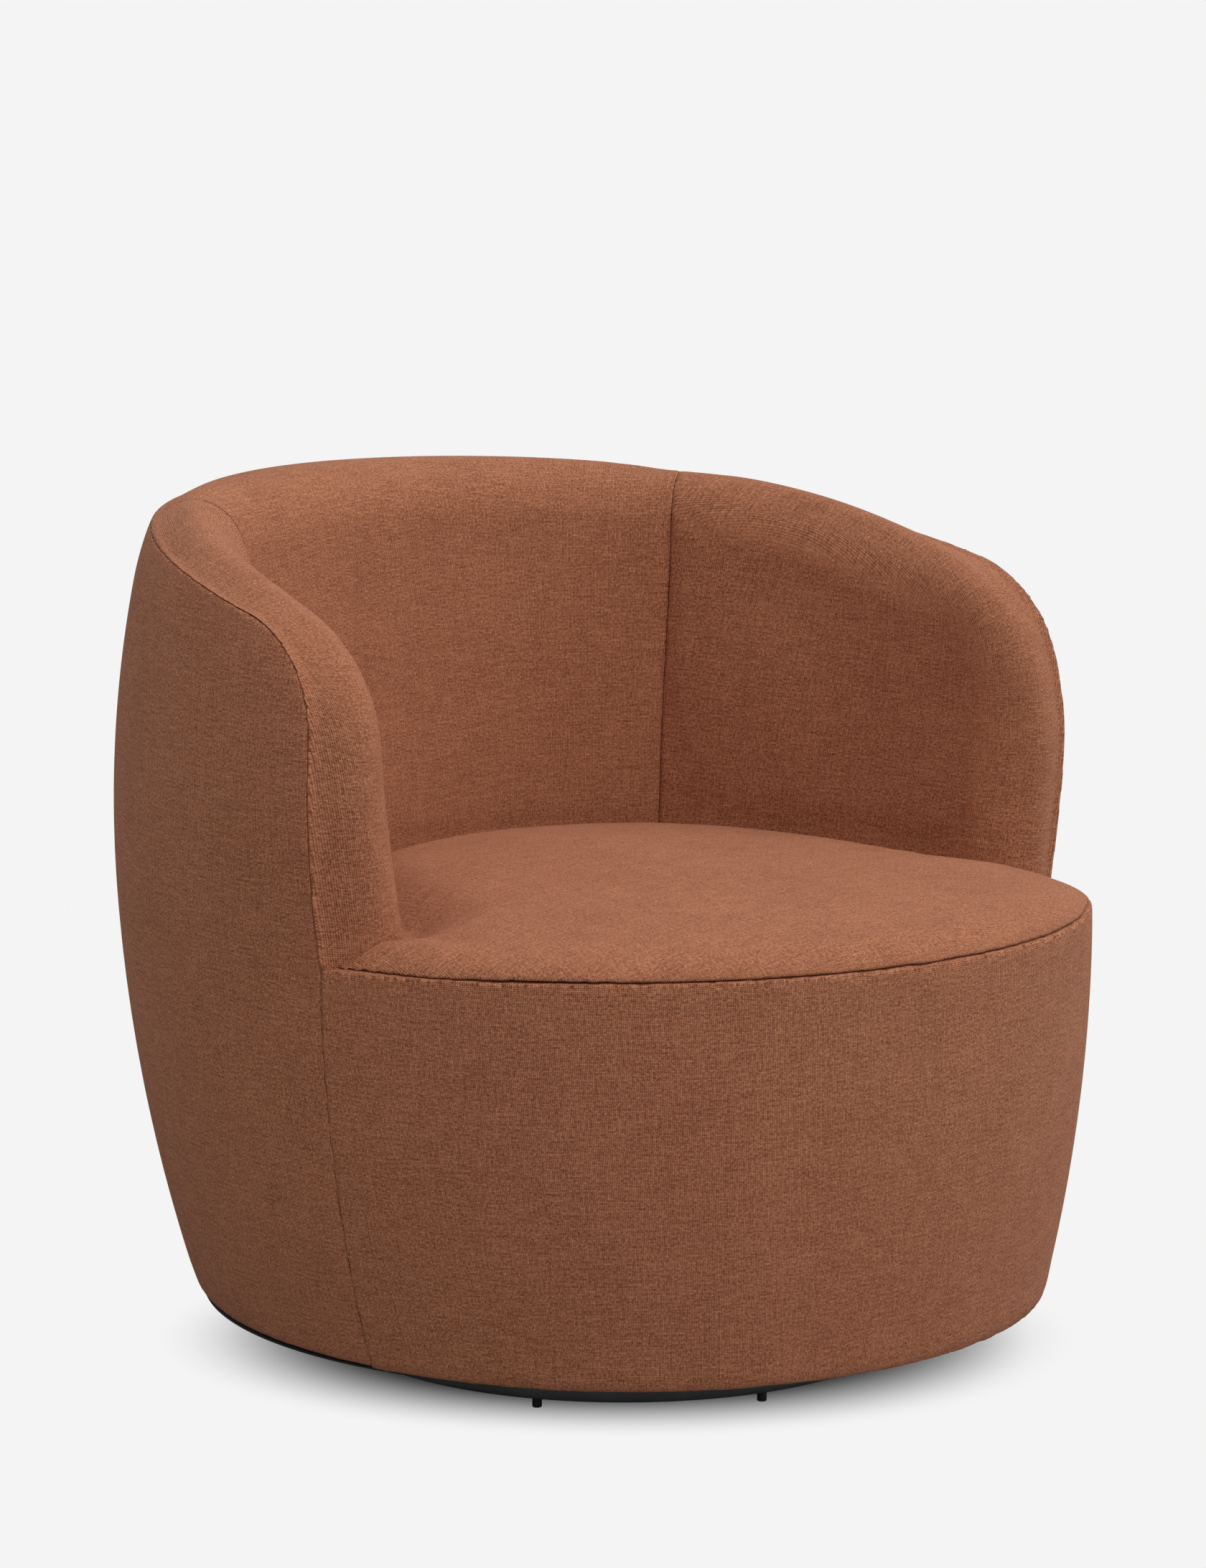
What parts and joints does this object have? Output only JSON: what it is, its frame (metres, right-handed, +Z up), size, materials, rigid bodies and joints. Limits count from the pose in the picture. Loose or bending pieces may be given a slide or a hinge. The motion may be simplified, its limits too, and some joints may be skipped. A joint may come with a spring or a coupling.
{
  "type": "swivel chair",
  "caption": "Upholstered swivel tub chair: barrel-shaped body with sloping rounded arms, a crowned tight seat, a front apron and a low hidden ring base on small glides.",
  "frame": {"origin": "point where the swivel axis meets the floor", "axes": "+Z up along the swivel axis, the chair faces -Y, +X to the right seen from the front"},
  "size_m": [0.838, 0.8451, 0.7423],
  "materials": {
    "upholstery": "plain linen-look weave",
    "foam": "open-cell foam",
    "felt": "pressed felt",
    "dust_cloth": "black non-woven",
    "jute": "woven jute",
    "plywood": "raw plywood",
    "fibreboard": "hard fibreboard",
    "spring_steel": "drawn wire",
    "zinc_steel": "zinc plated",
    "black_steel": "satin black",
    "glide_plastic": "black nylon",
    "cage_plastic": "white nylon"
  },
  "bodies": {
    "base": {"base_ring": "black_steel", "bar_long": "black_steel", "bar_front": "black_steel", "bar_back": "black_steel", "floor_glides": "glide_plastic", "lower_plate": "zinc_steel", "lower_race": "zinc_steel", "base_bolts": "zinc_steel", "base_nuts": "zinc_steel", "pivot_stud": "zinc_steel", "pivot_washer": "zinc_steel", "pivot_nut": "zinc_steel"},
    "cage": {"bearing_balls": "zinc_steel", "ball_cage": "cage_plastic"},
    "seat": {"seat_cushion": "upholstery", "apron_pad": "upholstery", "back_pad": "upholstery", "arm_pad_left": "upholstery", "arm_pad_right": "upholstery", "cover_back": "upholstery", "cover_left": "upholstery", "cover_right": "upholstery", "seat_foam": "foam", "deck_pad": "felt", "dust_cover": "dust_cloth", "back_straps": "jute", "bottom_board": "plywood", "seat_hoop": "plywood", "top_rail": "plywood", "apron_panel": "plywood", "rib_arm_left": "plywood", "rib_arm_right": "plywood", "rib_side_left": "plywood", "rib_side_right": "plywood", "rib_corner_left": "plywood", "rib_corner_right": "plywood", "rib_back": "plywood", "rib_front_left": "plywood", "rib_front_right": "plywood", "panel_back": "fibreboard", "panel_left": "fibreboard", "panel_right": "fibreboard", "spring_centre": "spring_steel", "springs_inner": "spring_steel", "springs_outer": "spring_steel", "spring_clips": "zinc_steel", "frame_bolts": "zinc_steel", "tee_nuts": "zinc_steel", "upper_plate": "zinc_steel", "upper_race": "zinc_steel"}
  },
  "joints": [
    {"name": "seat_swivel", "type": "hinge", "parent": "base", "child": "seat", "pos_m": [0, 0, 0.0403], "axis": [0, 0, 1], "continuous": true},
    {"name": "cage_spin", "type": "hinge", "parent": "base", "child": "cage", "pos_m": [0, 0, 0.0403], "axis": [0, 0, 1], "continuous": true}
  ],
  "couplings": [
    {"joint": "cage_spin", "follows": "seat_swivel", "ratio": 0.5}
  ]
}
